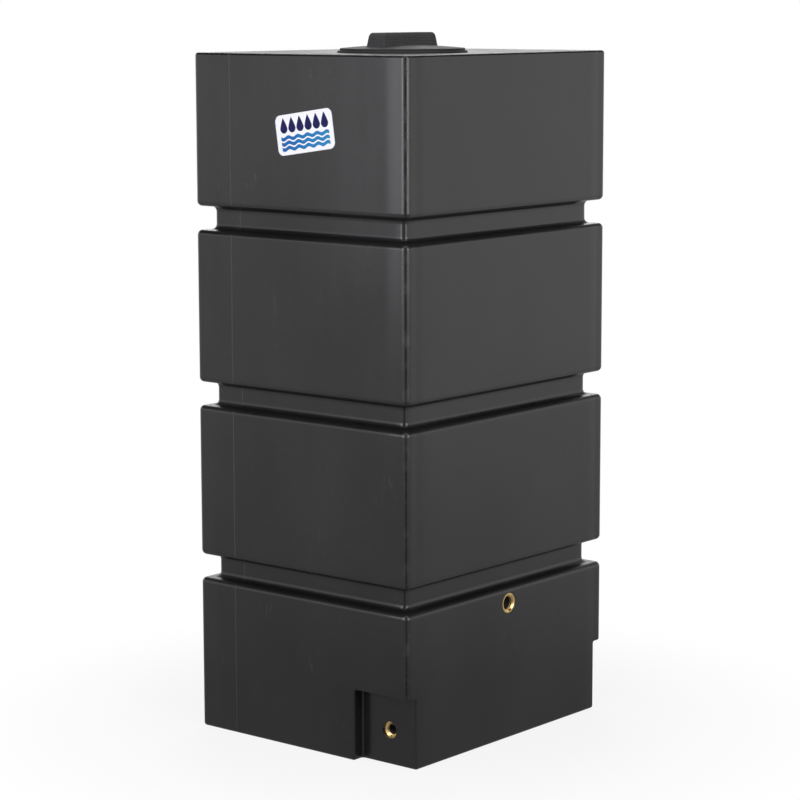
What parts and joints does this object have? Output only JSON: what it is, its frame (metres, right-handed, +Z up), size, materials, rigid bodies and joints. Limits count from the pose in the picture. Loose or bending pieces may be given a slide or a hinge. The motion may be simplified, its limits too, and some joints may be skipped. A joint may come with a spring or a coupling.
{
  "type": "rainwater tank",
  "caption": "Tall box-shaped rainwater tank with all-round stiffening grooves, a round screw lid with a grip bar, and threaded brass outlets low down.",
  "frame": {"origin": "centre of the base, on the surface the tank stands on", "axes": "+Z up, -Y out of the front face with the tap outlet, -X out of the side with the label and the low outlet"},
  "size_m": [0.7003, 0.6, 1.5413],
  "materials": {
    "tank_plastic": "smooth semi-gloss dark grey polyethylene",
    "lid_plastic": "satin near-black polypropylene",
    "brass": "turned brass",
    "seal_rubber": "black rubber",
    "label_film": "printed white film"
  },
  "bodies": {
    "tank": {"tank_body": "tank_plastic", "tap_insert": "brass", "outlet_insert": "brass", "label": "label_film"},
    "seal": {"lid_seal": "seal_rubber"},
    "lid": {"lid": "lid_plastic"}
  },
  "joints": [
    {"name": "lid_lift", "type": "slide", "parent": "tank", "child": "seal", "axis": [0, 0, 1], "range_m": [0, 0.3]},
    {"name": "lid_turn", "type": "hinge", "parent": "seal", "child": "lid", "pos_m": [0, 0, 1.498], "axis": [0, 0, 1], "range_deg": [0, 720]}
  ]
}
